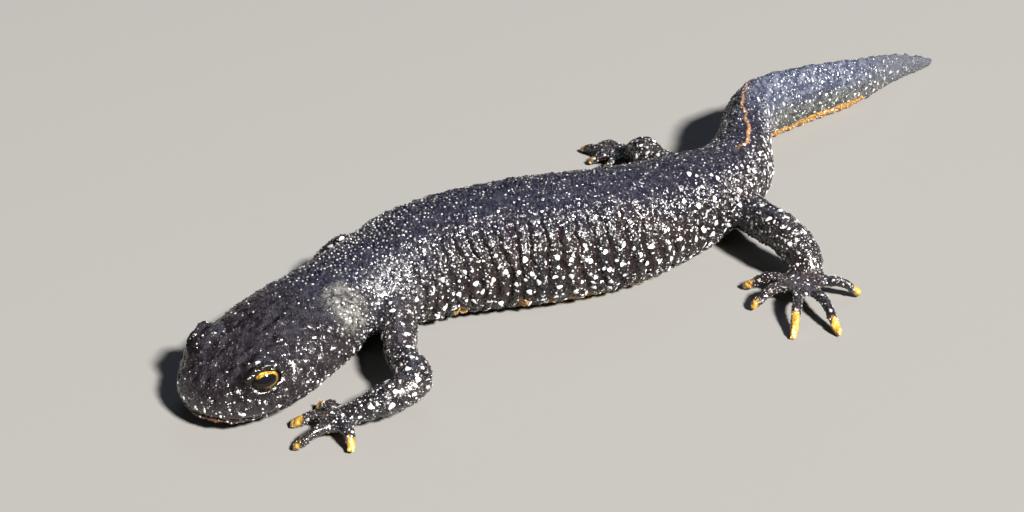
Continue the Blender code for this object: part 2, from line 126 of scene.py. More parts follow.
# Half width and half height of the gap between the lids, as cut and as closed
LIDS_CUT = (1.60, 1.30)
LIDS_CLOSED = (1.45, 0.86)
LID_REACH = 0.42

# Heights of the lids' rim and of the brow, depth of the groove round them
LID_RIM = 0.13
BROW = 0.32
LID_GROOVE = 0.16

# Line of the mouth: height at distances from the snout, width and depth of its groove
MOUTH_LINE = ((0.0, 2.25), (3.0, 2.0), (6.0, 2.1), (9.0, 2.5), (12.0, 3.1))
MOUTH_END = 11.5
MOUTH_GROOVE = (0.15, 0.30)
LIP_EDGE = 0.10
UPPER_LIP = 0.26

# Nostrils: place, depth of the hole and height of its rim
NOSTRIL_ALONG = 1.15
NOSTRIL_ASIDE = 2.6
NOSTRIL_HEIGHT = 4.1
NOSTRIL_DEPTH = 0.42
NOSTRIL_RIM = 0.08

# Furrows between the ribs
FURROW_SPACING = 1.62
FURROW_SHARPNESS = 2.4
FURROW_SLANT = 1.6
FURROW_DEPTH = 0.48

# Fold of the throat, then creases of the neck by place and strength
THROAT_PLACE = 19.6
THROAT_WIDTH = 0.32
THROAT_DEPTH = 0.42
CREASES = ((20.6, 0.6), (22.2, 0.9), (23.9, 0.7), (25.8, 0.6), (27.4, 0.5))
CREASE_WIDTH = 0.28
CREASE_DEPTH = 0.22

# Swollen gland behind the left cheek: place along the body, share of its height, thickness
GLAND = (17.0, 0.80)
GLAND_SWELL = 0.35

# Tail: upright furrows of its sides and waves of its upper edge
TAIL_FURROW_SPACING = 2.4
TAIL_FURROW_DEPTH = 0.06
TAIL_EDGE_WAVES = 0.16

# Texture of the skin: soft lumps, and cracks between flat cells
LUMP_HEIGHT = 0.12
CRACK_DEPTH = 0.13

# Orange spots that reach up the left flank's lower edge: place along the body, half length
BELLY_SPOTS = ((33.0, 1.3), (41.0, 0.8), (44.5, 0.7))

# Orange line on the root of the tail: how far left of the middle, along the body
RIDGE_COURSE = ((72, 76, 85, 96), (1.3, 1.2, -0.7, -0.3))

# Granules: distance apart, tries for each square millimetre, half width, height to half width
GRANULE_SPACING = 0.34
GRANULE_DENSITY = 20.0
GRANULE_WIDTH = (0.09, 0.18)
GRANULE_FLATNESS = (0.5, 0.85)

# Where the pieces of granules part, along the body
TRUNK_START = 22
TAIL_START = 80

# Warts: distance apart, tries for each square millimetre, least and most half width, roundness
WARTS = {
    "warts_large": (1.35, 1.9, 0.25, 0.36, 3),
    "warts_middle": (1.10, 2.2, 0.15, 0.23, 2),
    "warts_small": (0.72, 3.5, 0.08, 0.14, 1),
}
WART_FLATNESS = (0.28, 0.42)
WART_LOBES = 0.22

# Beads stay this far over the floor
BEAD_FLOOR = 0.015

# Flat map of the skin: margin, size of the trunk's part, start and height of the limbs' part,
# half the width of a bead's patch
MAP_MARGIN = 0.02
MAP_TRUNK = (0.96, 0.66)
MAP_LIMBS = (0.72, 0.26)
PATCH = 0.0015

# Colours of the skin, in linear light
BLACK = (0.004, 0.003, 0.005, 1.0)
BROWN = (0.020, 0.012, 0.009, 1.0)
# Painted reflection of the sky: bluish on the upper back and round the root of the tail
NAVY_SKY_SHEEN = (0.006, 0.006, 0.014, 1.0)
HEAD_BROWN = (0.009, 0.006, 0.007, 1.0)
TAIL_UPPER = ((0.024, 0.030, 0.054, 1.0), (0.086, 0.098, 0.136, 1.0))
TAIL_LOWER = ((0.032, 0.034, 0.032, 1.0), (0.100, 0.105, 0.090, 1.0))
TAIL_GREY = (0.060, 0.064, 0.078, 1.0)
FLECK = (0.038, 0.035, 0.040, 1.0)
# Brown of the furrows and creases, darker than the skin round them as painted shade
FURROW_BROWN_SHADE = (0.010, 0.005, 0.004, 1.0)
# Painted sheen: silvery glints laid over the shoulder
SHEEN_SILVER = (0.052, 0.052, 0.062, 1.0)
BELLY_ORANGE = (0.34, 0.175, 0.036, 1.0)
RIDGE_ORANGE = (0.36, 0.19, 0.08, 1.0)
LIP_ORANGE = (0.20, 0.07, 0.02, 1.0)
DIGIT_YELLOW = (0.46, 0.29, 0.05, 1.0)
DIGIT_ORANGE = (0.34, 0.16, 0.025, 1.0)
# Patch behind the left cheek: its crazed cells and cracks are the skin's own; its pale grey and
# cream are partly painted sheen of the shiny skin there
GLAND_GREY = (0.038, 0.036, 0.037, 1.0)
GLAND_CREAM_SHEEN = (0.150, 0.146, 0.132, 1.0)
GLAND_CRACK = (0.014, 0.012, 0.012, 1.0)
# Painted shade: black round the front of the eyes, in the nostrils and along the groove of the
# mouth
SHADE_BLACK = (0.004, 0.003, 0.003, 1.0)
GRANULE_PALE = ((0.62, 0.62, 0.66, 1.0), (0.50, 0.46, 0.40, 1.0))
WART_WHITE = ((0.74, 0.76, 0.80, 1.0), (0.60, 0.58, 0.54, 1.0))

# Colours of the eye
PUPIL_BLACK = (0.004, 0.004, 0.005, 1.0)
IRIS_BROWN = (0.11, 0.06, 0.008, 1.0)
IRIS_GOLD = (0.48, 0.31, 0.045, 1.0)
# Painted shade of the lids over the lower and front parts of the iris
IRIS_LID_SHADE = (0.006, 0.004, 0.002, 1.0)
IRIS_RIM_SHADED = (0.075, 0.040, 0.006, 1.0)

rng = np.random.default_rng(7)


def blend_step(values, low, high):
    """Smooth rise from 0 at low to 1 at high, also downwards where high is less."""
    share = np.clip((values - low) / (high - low), 0.0, 1.0)
    return share * share * (3.0 - 2.0 * share)


def window(values, start, full, fade, end):
    """Smooth rise from start to full, and fall from fade to end."""
    return blend_step(values, start, full) * blend_step(values, end, fade)


def hump(values, middle, width):
    """Bell of height 1 round a value."""
    return np.exp(-((values - middle) / width) ** 2)


def smooth_curve(keys, values, at):
    """Smooth curve through values at rising keys, read at many places."""
    keys = np.asarray(keys, float)
    values = np.asarray(values, float)
    slopes = np.gradient(values, keys, axis=0)
    at = np.clip(at, keys[0], keys[-1])
    i = np.clip(np.searchsorted(keys, at) - 1, 0, len(keys) - 2)
    span = keys[i + 1] - keys[i]
    t = (at - keys[i]) / span
    if values.ndim > 1:
        span, t = span[:, None], t[:, None]
    start = (2 * t ** 3 - 3 * t ** 2 + 1) * values[i] + (t ** 3 - 2 * t ** 2 + t) * span * slopes[i]
    end = (3 * t ** 2 - 2 * t ** 3) * values[i + 1] + (t ** 3 - t ** 2) * span * slopes[i + 1]
    return start + end


def unit(rows):
    """Rows of a table, each brought to length 1."""
    return rows / np.linalg.norm(rows, axis=1)[:, None]


def noise_at(points, size, seed):
    """Smooth noise from about -1 to 1, its lumps that many millimetres wide."""
    places = points / size + seed
    return np.array([noise.noise(place) for place in places.tolist()])


def cells_at(points, size, seed):
    """Cell pattern: 0 on the borders of the cells, rising towards their middles."""
    places = (points / size + seed).tolist()
    near = [noise.voronoi(place)[0][:2] for place in places]
    return np.array([second - first for first, second in near])


# The body's middle line, as even points with their distance from the snout
marks = np.array(SPINE)
chords = np.hypot(*np.diff(marks, axis=0).T)
reach = np.concatenate([[0.0], np.cumsum(chords)])
SPINE_POINTS = smooth_curve(reach, marks, np.linspace(0, reach[-1], SPINE_PLACES)) + BODY_SHIFT
SPINE_STEPS = np.hypot(*np.diff(SPINE_POINTS, axis=0).T)
SPINE_ALONG = np.concatenate([[0.0], np.cumsum(SPINE_STEPS)])
SPINE_ALONG *= BODY_LENGTH / SPINE_ALONG[-1]
SPINE_BACK = unit(np.gradient(SPINE_POINTS, axis=0))


def spine_read(table, along):
    """Row of a table of the spine at a distance from the snout."""
    return np.array([np.interp(along, SPINE_ALONG, column) for column in table.T])


def body_place(along, aside, height):
    """Place given by the body's own measures."""
    middle, back = spine_read(SPINE_POINTS, along), spine_read(SPINE_BACK, along)
    return np.array((middle[0] + back[1] * aside, middle[1] - back[0] * aside, height))


def body_measures(points):
    """How far each point lies along the body and to its left."""
    tree = KDTree(len(SPINE_POINTS))
    for number, place in enumerate(SPINE_POINTS):
        tree.insert((*place, 0.0), number)
    tree.balance()
    nearest = np.array([tree.find((x, y, 0.0))[1] for x, y in points[:, :2].tolist()])
    offset = points[:, :2] - SPINE_POINTS[nearest]
    back = SPINE_BACK[nearest]
    along = SPINE_ALONG[nearest] + (offset * back).sum(axis=1)
    return along, offset[:, 0] * back[:, 1] - offset[:, 1] * back[:, 0]


def eye_frame(side):
    """Middle of an eye, and its own axes: forwards, upwards and the way it looks."""
    back = spine_read(SPINE_BACK, EYE_ALONG)
    forward = np.array((-back[0], -back[1], 0.0))
    aside = np.array((back[1], -back[0], 0.0)) * side
    level = aside * math.cos(EYE_TURN) + forward * math.sin(EYE_TURN)
    look = level * math.cos(EYE_RISE) + np.array((0.0, 0.0, math.sin(EYE_RISE)))
    lengthwise = forward - look * forward.dot(look)
    lengthwise /= np.linalg.norm(lengthwise)
    upward = np.cross(lengthwise, look) * side
    return body_place(EYE_ALONG, side * EYE_ASIDE, EYE_HEIGHT), np.stack([lengthwise, upward, look])


# Meshes

def add_piece(name, data):
    """Object for a mesh, lamp or camera, linked to the scene."""
    item = bpy.data.objects.new(name, data)
    bpy.context.scene.collection.objects.link(item)
    return item


def read_rows(items, name, width, kind=float):
    """What the vertices, edges or triangles of a mesh hold under a name, a row for each."""
    flat = np.empty(len(items) * width, kind)
    items.foreach_get(name, flat)
    return flat.reshape(-1, width)


def read_points(data):
    """Vertices of a mesh in millimetres."""
    return read_rows(data.vertices, "co", 3) / MM


def write_points(data, points):
    """Put vertices given in millimetres back in a mesh."""
    data.vertices.foreach_set("co", (points * MM).ravel())
    data.update()


def read_normals(data):
    """Normals of a mesh at its vertices."""
    return read_rows(data.vertex_normals, "vector", 3)


def neighbour_mean(values, edges):
    """Mean of each vertex's neighbours; edges are pairs of vertices."""
    count = len(values)
    first, second = edges.T
    degree = np.bincount(edges.ravel(), minlength=count).clip(1)
    table = values.reshape(count, -1)
    total = np.stack([
        np.bincount(first, column[second], count) + np.bincount(second, column[first], count)
        for column in table.T], axis=1)
    return (total / degree[:, None]).reshape(values.shape)


def relax(points, edges, passes, share=1.0):
    """Smooth a mesh without shrinking it; share may differ from vertex to vertex."""
    amount = np.broadcast_to(np.asarray(share, float), len(points))[:, None]
    for _ in range(passes):
        for factor in (0.5, -0.53):
            points = points + (neighbour_mean(points, edges) - points) * factor * amount
    return points


def cut_spikes(points, edges, height, passes):
    """Draw back the points that stand out from their neighbours by more than a height."""
    for _ in range(passes):
        gap = neighbour_mean(points, edges) - points
        points = points + gap * (np.linalg.norm(gap, axis=1) > height)[:, None]
    return points


def spread(values, edges, passes):
    """Soften a mask over its neighbours."""
    for _ in range(passes):
        values = (values + neighbour_mean(values, edges)) / 2
    return values


def write_mask(data, name, values):
    """Keep a number for each vertex, for the materials to read."""
    layer = data.attributes.new(name, "FLOAT", "POINT")
    layer.data.foreach_set("value", np.asarray(values, np.float32))


# Skin

def grown_flesh():
    """The solids of flesh, each swelled over the thin cut to its neighbour."""
    whole = bmesh.new()
    for name in FLESH:
        length = bmesh.new()
        length.from_mesh(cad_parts[name].data)
        bmesh.ops.remove_doubles(length, verts=length.verts, dist=0.001 * MM)
        length.normal_update()
        for vert in length.verts:
            vert.co += vert.normal * SWELL * MM
        data = bpy.data.meshes.new(name + "_grown")
        length.to_mesh(data)
        length.free()
        whole.from_mesh(data)
        bpy.data.meshes.remove(data)
    data = bpy.data.meshes.new("newt_skin_rough")
    whole.to_mesh(data)
    whole.free()
    return data


def even_skin():
    """One closed skin of even squares over all the flesh."""
    rough = add_piece("newt_skin_rough", grown_flesh())
    remesh = rough.modifiers.new("even", "REMESH")
    remesh.mode = "VOXEL"
    remesh.voxel_size = SKIN_MESH * MM
    ready = rough.evaluated_get(bpy.context.evaluated_depsgraph_get())
    data = bpy.data.meshes.new_from_object(ready)
    data.name = "newt_skin"
    bpy.data.objects.remove(rough, do_unlink=True)
    return data


def nearest_node(points):
    """Name of the solid that each point of the skin lies on."""
    names = []
    tree = KDTree(sum(len(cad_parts[name].data.vertices) for name in FLESH))
    for name in FLESH:
        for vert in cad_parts[name].data.vertices:
            tree.insert(vert.co / MM, len(names))
            names.append(name)
    tree.balance()
    return np.array([names[tree.find(point)[1]] for point in points.tolist()])


def refine(data, chosen):
    """Halve the squares of the skin where the mask is set."""
    mesh = bmesh.new()
    mesh.from_mesh(data)
    mesh.verts.ensure_lookup_table()
    edges = [edge for edge in mesh.edges
             if chosen[edge.verts[0].index] and chosen[edge.verts[1].index]]
    bmesh.ops.subdivide_edges(mesh, edges=edges, cuts=1, use_grid_fill=True)
    odd = [face for face in mesh.faces if len(face.verts) > 4]
    bmesh.ops.triangulate(mesh, faces=odd)
    mesh.to_mesh(data)
    mesh.free()
    data.update()


def measure(data):
    """What the shaping and the colours need to know at each vertex of the skin."""
    points = read_points(data)
    edges = read_rows(data.edges, "vertices", 2, np.int32)
    normals = read_normals(data)
    along, aside = body_measures(points)
    node = nearest_node(points)
    limb = np.array([not name.startswith(TRUNK) for name in node], float)
    foot = np.array([name.startswith(("hand", "foot")) for name in node], float)
    trunk = limb == 0
    slices = int(BODY_LENGTH) + 1
    number = np.clip(along.astype(int), 0, slices - 1)
    upper, lower = np.zeros(slices), np.full(slices, 20.0)
    np.maximum.at(upper, number[trunk], points[trunk, 2])
    np.minimum.at(lower, number[trunk], points[trunk, 2])
    middles = np.arange(slices) + 0.5
    top = np.interp(along, middles, upper)
    bottom = np.interp(along, middles, lower)
    rise = (points[:, 2] - bottom) / np.maximum(top - bottom, 0.5)
    limb = spread(limb, edges, 10)
    rise = rise * (1 - limb) + (normals[:, 2] * 0.5 + 0.5) * limb
    return {
        "points": points, "edges": edges, "normals": normals, "along": along, "aside": aside,
        "rise": np.clip(rise, 0, 1), "limb": limb, "foot": spread(foot, edges, 4),
    }


def rim_angle(turn, gap):
    """Angle from the eye's axis to the edge of an oval gap, in a direction round the eye."""
    wide, high = gap
    reach = wide * high / np.hypot(high * np.cos(turn), wide * np.sin(turn))
    return np.arcsin(np.clip(reach / EYE_RADIUS, 0, 0.99))


def close_lids(points):
    """Draw the edges of the lids together over the eyeballs."""
    for side in (1, -1):
        centre, axes = eye_frame(side)
        local = (points - centre) @ axes.T
        reach = np.linalg.norm(local, axis=1)
        lean = np.arccos(np.clip(local[:, 2] / reach, -1, 1))
        turn = np.arctan2(local[:, 1], local[:, 0])
        cut, closed = rim_angle(turn, LIDS_CUT), rim_angle(turn, LIDS_CLOSED)
        near = blend_step(reach, 4.2, 2.9)
        lean -= (cut - closed) * hump(lean, cut, LID_REACH) * near
        ring = reach * np.sin(lean)
        local = np.stack([ring * np.cos(turn), ring * np.sin(turn), reach * np.cos(lean)], axis=1)
        points = np.where((near > 0)[:, None], local @ axes + centre, points)
    return points


def shape_face(points, body):
    """Lids, nostrils, lips and the line of the mouth, as moves along the normals."""
    along = body["along"]
    head = blend_step(along, 19.0, 16.0) * (1 - body["limb"])
    move, lids, brows = np.zeros((3, len(points)))
    drop = points[:, 2] - smooth_curve(*np.array(MOUTH_LINE).T, along)
    mouth = head * blend_step(along, MOUTH_END, MOUTH_END - 2.0)
    width, depth = MOUTH_GROOVE
    move -= mouth * depth * hump(drop, 0.0, width)
    move += mouth * LIP_EDGE * (hump(drop, 0.42, 0.3) + hump(drop, -0.42, 0.3))
    move += mouth * UPPER_LIP * hump(drop, 0.95, 0.45) * blend_step(along, 1.0, 3.0)

    for side in (1, -1):
        centre, axes = eye_frame(side)
        x, y, z = ((points - centre) @ axes.T).T
        round_eye = np.sqrt((x / LIDS_CLOSED[0]) ** 2 + (y / LIDS_CLOSED[1]) ** 2)
        near = blend_step(z, 0.2, 0.9) * head
        lids = np.maximum(lids, near * blend_step(round_eye - 0.25 * x, 1.75, 1.35))
        move += near * LID_RIM * hump(round_eye, 1.28, 0.22)
        move += near * BROW * hump(round_eye, 1.50, 0.34) * blend_step(y, 0.2, 1.0)
        move -= near * LID_GROOVE * hump(round_eye, 1.85, 0.20)
        brows = np.maximum(brows, near * hump(round_eye, 1.9, 0.6) * blend_step(y, 0.4, 1.4))
        nostril = body_place(NOSTRIL_ALONG, side * NOSTRIL_ASIDE, NOSTRIL_HEIGHT)
        hole = points[np.argmin(np.linalg.norm(points - nostril, axis=1))]
        gap = np.linalg.norm(points - hole, axis=1)
        move -= NOSTRIL_DEPTH * hump(gap, 0.0, 0.26)
        move += NOSTRIL_RIM * hump(gap, 0.50, 0.2)
        lids = np.maximum(lids, hump(gap, 0.0, 0.30))
    # Painted shade: black laid round the front of the eyes, in the nostrils and along the groove of
    # the mouth
    body["dark"] = np.maximum(lids, mouth * hump(drop, 0.0, 0.20))
    lips = mouth * (hump(drop, 0.75, 0.45) + 0.5 * hump(drop, -0.7, 0.4))
    body["lip"] = np.maximum(lips, 0.5 * brows) * (1 - lids)
    return move


def shape_folds(points, body):
    """Furrows between the ribs, creases of the neck and waves of the tail, as moves."""
    along, rise = body["along"], body["rise"]
    trunk = 1 - body["limb"]
    wobble = noise_at(points, size=5.0, seed=3.0)
    fine = noise_at(points, size=1.7, seed=9.0)

    flank = window(along, 24, 29, 69, 76) * window(rise, 0.03, 0.12, 0.78, 0.97) * trunk
    course = along + 0.9 * wobble + 0.5 * fine + FURROW_SLANT * (rise - 0.5)
    ribs = (0.5 + 0.5 * np.cos(2 * math.pi * course / FURROW_SPACING)) ** FURROW_SHARPNESS
    strength = np.clip(0.95 + 0.45 * noise_at(points, size=3.2, seed=21.0), 0.2, 1)
    furrows = flank * ribs * strength
    move = -FURROW_DEPTH * furrows

    slant = along - 3.5 * rise + 0.8 * wobble
    throat = blend_step(rise, 0.62, 0.40) * trunk * hump(slant, THROAT_PLACE, THROAT_WIDTH)
    neck = blend_step(rise, 0.80, 0.5) * trunk
    creases = sum(depth * neck * hump(slant, place, CREASE_WIDTH) for place, depth in CREASES)
    move -= THROAT_DEPTH * throat + CREASE_DEPTH * creases

    gland = hump(along, GLAND[0], 2.5) * hump(rise, GLAND[1], 0.22) * trunk
    gland *= blend_step(body["aside"], 0.8, 2.4)
    move += GLAND_SWELL * gland

    tail = window(along, 78, 84, 120, 132) * trunk
    upright = np.cos(2 * math.pi * (along + 0.8 * wobble + 0.3 * fine) / TAIL_FURROW_SPACING)
    move -= TAIL_FURROW_DEPTH * tail * (0.5 + 0.5 * upright) ** 2
    ridge = blend_step(along, 74, 84) * blend_step(rise, 0.88, 0.98) * trunk
    move += ridge * TAIL_EDGE_WAVES * (0.6 + 0.5 * np.sin(along * 1.9 + 2.0 * wobble))

    body["folds"] = np.clip(furrows + throat + creases, 0, 1)
    body["gland"] = blend_step(gland + 0.16 * fine, 0.15, 0.65)
    return move


def shape_texture(points, body):
    """Soft lumps and cracks of the skin, less on the face and the digits, as moves."""
    limb = body["limb"]
    head = blend_step(body["along"], 19.0, 15.0) * (1 - limb)
    calm = (1 - 0.45 * head) * (1 - 0.7 * body["foot"])
    lumps = noise_at(points, size=0.8, seed=5.0) * (1 + 0.7 * limb)
    lumps += 0.9 * head * noise_at(points, size=1.7, seed=8.0)
    cracks = blend_step(cells_at(points, size=1.25, seed=12.0), 0.18, 0.0)
    return calm * (LUMP_HEIGHT * lumps - CRACK_DEPTH * cracks)


def make_skin():
    """The finished skin and the measures at its vertices."""
    data = even_skin()
    body = measure(data)
    edges = body["edges"]
    calm = 1 - 0.55 * blend_step(body["along"], 20.0, 16.0) * (1 - body["limb"])
    points = cut_spikes(body["points"], edges, *ROUGH_SPIKES)
    points = relax(points, edges, SMOOTH_PASSES[0], calm)
    write_points(data, points)
    points = points - read_normals(data) * SWELL
    points = relax(points, edges, SMOOTH_PASSES[1], calm)
    points = cut_spikes(points, edges, *FINE_SPIKES)
    write_points(data, points)

    along, rise, trunk = body["along"], body["rise"], body["limb"] < 0.5
    face = (along < FINE_FACE_END) & trunk
    flank = (along > FINE_FLANK[0]) & (along < FINE_FLANK[1]) & trunk
    flank &= (rise > FINE_FLANK_RISE[0]) & (rise < FINE_FLANK_RISE[1])
    refine(data, face | flank | (body["foot"] > 0.3))
    body = measure(data)
    points = relax(body["points"], body["edges"], SMOOTH_PASSES[2])
    points = close_lids(points)
    write_points(data, points)
    normals = read_normals(data)
    move = shape_folds(points, body)
    move += shape_texture(points, body) + shape_face(points, body)
    points = points + normals * move[:, None]
    points[:, 2] = np.maximum(points[:, 2], SKIN_FLOOR)
    write_points(data, points)
    body["points"] = points
    body["normals"] = read_normals(data)
    return data, body


def orange_mask(body, rough, wide):
    """Where the skin may be orange: belly, spots on its edge, lower edge of the tail, palms."""
    along, rise, limb = body["along"], body["rise"], body["limb"]
    trunk = 1 - limb
    belly = blend_step(rise + 0.04 * rough - 0.16 * np.clip(wide, 0, 1), 0.12, 0.00) * trunk
    belly *= window(along, 23, 28, 76, 84)
    for place, length in BELLY_SPOTS:
        spot = hump(along + 0.4 * rough, place, length) * blend_step(rise, 0.26, 0.14) * trunk
        belly = np.maximum(belly, spot * blend_step(body["aside"], 0.0, 1.0))
    edge = blend_step(body["points"][:, 2] + 0.3 * rough, 2.2, 1.2) * trunk
    edge *= window(along, 76, 82, 108, 124)
    palms = blend_step(rise, 0.22, 0.08) * limb * blend_step(body["foot"], 0.0, 0.8)
    return np.clip(belly + edge + 0.8 * palms, 0, 1)


def tip_mask(body, rough):
    """Where the digits are yellow."""
    tip = np.zeros(len(rough))
    for digits in DIGIT_TIPS.values():
        for x, y, length in digits:
            middle = np.array((x, y)) + BODY_SHIFT
            gap = np.hypot(*(body["points"][:, :2] - middle).T) + 0.25 * rough
            tip = np.maximum(tip, blend_step(gap, length + 0.20, length - 0.25))
    return tip * body["foot"]


def colour_masks(body):
    """Where the colours of the skin lie."""
    points, along, rise, limb = (body[name] for name in ("points", "along", "rise", "limb"))
    trunk = 1 - limb
    rough = noise_at(points, size=1.6, seed=31.0)
    wide = noise_at(points, size=6.0, seed=37.0)
    course = np.interp(along, *RIDGE_COURSE) + 0.14 * np.sin(1.7 * along)
    ridge = window(along, 71, 75, 87, 95) * trunk * (0.8 + 0.6 * rough)
    # Painted reflection of the sky: bluish on the upper back and round the root of the tail
    sky_sheen = blend_step(rise + 0.12 * wide, 0.62, 0.92) * trunk
    sky_sheen = np.maximum(sky_sheen, blend_step(along, 74, 84) * trunk * (0.7 + 0.3 * wide))
    wet = 0.15 + 0.85 * limb * blend_step(along, 26, 22) + 0.5 * limb * blend_step(along, 40, 55)
    wet += 0.8 * body["lip"] + 0.6 * hump(along, 9, 5) * hump(rise, 0.7, 0.2) * trunk
    return {
        "orange": orange_mask(body, rough, wide),
        "tip": tip_mask(body, rough),
        "ridge": np.clip(ridge * blend_step(rise, 0.75, 0.85), 0, 1),
        "ridge_gap": np.clip(np.abs(body["aside"] - course), 0, 2),
        "sky_sheen": np.clip(sky_sheen, 0, 1),
        "folds": body["folds"],
        "snout": hump(along, 0.6, 1.6) * blend_step(points[:, 2], 2.7, 1.9) * trunk,
        "head": blend_step(along, 17, 12) * trunk,
        "gland": body["gland"],
        "dark": body["dark"],
        "tail": blend_step(along, 78, 96) * trunk,
        "end": blend_step(along, 108, 124) * trunk,
        # Where the painted sheen of silvery glints lies, over the shoulder
        "shoulder_sheen": hump(along, 24.5, 4.5) * window(rise, 0.30, 0.55, 0.85, 1.0) * trunk,
        "low": blend_step(rise + 0.1 * wide, 0.70, 0.35) * trunk,
        "wet": np.clip(wet + rough * 0.2, 0, 1),
    }


# Beads

def bead_shape(detail):
    """Corners and triangles of a round bead of radius 1."""
    mesh = bmesh.new()
    bmesh.ops.create_icosphere(mesh, subdivisions=detail, radius=1.0)
    corners = np.array([vert.co[:] for vert in mesh.verts])
    faces = np.array([[vert.index for vert in face.verts] for face in mesh.faces])
    mesh.free()
    return corners, faces


def unwrap(body):
    """Flat place of each point of the skin: along the body and round it, limbs apart."""
    points, along, aside, limb = (body[name] for name in ("points", "along", "aside", "limb"))
    turn = np.arctan2(aside, points[:, 2] - 4.0) / (2 * math.pi) + 0.5
    flat = np.column_stack([MAP_MARGIN + MAP_TRUNK[0] * along / BODY_LENGTH,
                            MAP_MARGIN + MAP_TRUNK[1] * turn])
    quarter = 2 * (along > 45) + (aside > 0)
    for number in range(4):
        chosen = (limb > 0.5) & (quarter == number)
        part = points[chosen]
        low, high = part.min(axis=0), part.max(axis=0)
        middle = (low + high) / 2
        way = (part[:, :2] - low[:2]).sum(axis=1) / (high - low)[:2].sum()
        turn = np.arctan2(part[:, 0] - middle[0], part[:, 2] - middle[2]) / (2 * math.pi) + 0.5
        flat[chosen] = np.column_stack([0.25 * (number + 0.05 + 0.9 * way),
                                        MAP_LIMBS[0] + MAP_LIMBS[1] * turn])
    return np.clip(flat, 0, 1)


class Surface:
    """Triangles of the skin, to draw places on it from."""

    def __init__(self, data, body, masks):
        data.calc_loop_triangles()
        self.corners = read_rows(data.loop_triangles, "vertices", 3, np.int32)
        self.body = body
        self.masks = masks
        self.flat = unwrap(body)
        first, second, third = body["points"][self.corners].transpose(1, 0, 2)
        self.area = np.linalg.norm(np.cross(second - first, third - first), axis=1) / 2

    def draw(self, spacing, density, chance):
        """Places that keep apart by spacing, likelier where the chance is higher."""
        weight = self.area * chance[self.corners].mean(axis=1)
        total = weight.sum()
        count = int(density * total)
        chosen = rng.choice(len(weight), count, p=weight / total)
        share = rng.random((count, 2))
        over = share.sum(axis=1) > 1
        share[over] = 1 - share[over]
        weights = np.column_stack([1 - share.sum(axis=1), share])
        spots = self.corners[chosen], weights
        gaps = np.broadcast_to(spacing, len(self.body["points"]))
        kept = keep_apart(self.read(self.body["points"], spots), self.read(gaps, spots))
        return tuple(column[kept] for column in spots)

    def read(self, values, spots):
        """Values of the skin at drawn places."""
        corners, weights = spots
        if values.ndim > 1:
            weights = weights[:, :, None]
        return (values[corners] * weights).sum(axis=1)


def keep_apart(places, gaps):
    """Numbers of the places that lie no nearer to one kept before than their gap."""
    cell = float(gaps.max())
    near = [(i, j, k) for i in (-1, 0, 1) for j in (-1, 0, 1) for k in (-1, 0, 1)]
    grid = {}

    def crowded(place, key, limit):
        for i, j, k in near:
            for x, y, z in grid.get((key[0] + i, key[1] + j, key[2] + k), ()):
                if (x - place[0]) ** 2 + (y - place[1]) ** 2 + (z - place[2]) ** 2 < limit:
                    return True
        return False

    kept = []
    keys = np.floor(places / cell).astype(int).tolist()
    for number, (place, key, gap) in enumerate(zip(places.tolist(), keys, gaps.tolist())):
        if not crowded(place, key, gap * gap):
            kept.append(number)
            grid.setdefault(tuple(key), []).append(place)
    return np.array(kept, dtype=int)


def bead_piece(name, surface, spots, widths, heights, tints, detail, lobes=0.0):
    """Beads joined in one mesh, each flattened on the skin, uneven round its edge by lobes."""
    corners, faces = bead_shape(detail)
    count = len(spots[0])
    up = unit(surface.read(surface.body["normals"], spots))
    side = unit(np.cross(up, rng.normal(size=(count, 3))))
    other = np.cross(up, side)
    longer = rng.uniform(0.85, 1.2, count)
    axes = np.stack([side * (widths * longer)[:, None], other * (widths / longer)[:, None],
                     up * heights[:, None]], axis=1)
    around = np.arctan2(corners[:, 1], corners[:, 0])[None]
    shift = rng.uniform(0, 2 * math.pi, (2, count, 1))
    uneven = 1 + lobes * (0.6 * np.sin(3 * around + shift[0]) + 0.4 * np.sin(2 * around + shift[1]))
    shapes = np.repeat(corners[None], count, axis=0)
    shapes[:, :, :2] *= uneven[:, :, None]
    places = surface.read(surface.body["points"], spots)
    points = np.einsum("bvk,bkx->bvx", shapes, axes) + places[:, None, :]
    points[:, :, 2] = np.maximum(points[:, :, 2], BEAD_FLOOR)

    data = bpy.data.meshes.new(name)
    rows = faces[None] + (np.arange(count) * len(corners))[:, None, None]
    data.vertices.add(count * len(corners))
    data.loops.add(rows.size)
    data.polygons.add(count * len(faces))
    data.loops.foreach_set("vertex_index", rows.ravel().astype(np.int32))
    data.polygons.foreach_set("loop_start", np.arange(0, rows.size, 3, dtype=np.int32))
    write_points(data, points.reshape(-1, 3))
    data.validate()
    data.shade_smooth()

    for mask, values in surface.masks.items():
        write_mask(data, mask, np.repeat(surface.read(values, spots), len(corners)))
    crown = blend_step(corners[:, 2], 0.15, 0.6)
    write_mask(data, "tint", (tints[:, None] * crown[None]).ravel())
    flat = surface.read(surface.flat, spots)[:, None] + corners[None, :, :2] * PATCH
    layer = data.uv_layers.new(name="OFBake")
    layer.data.foreach_set("uv", flat.reshape(-1, 2)[rows.ravel()].ravel())
    return add_piece(name, data)


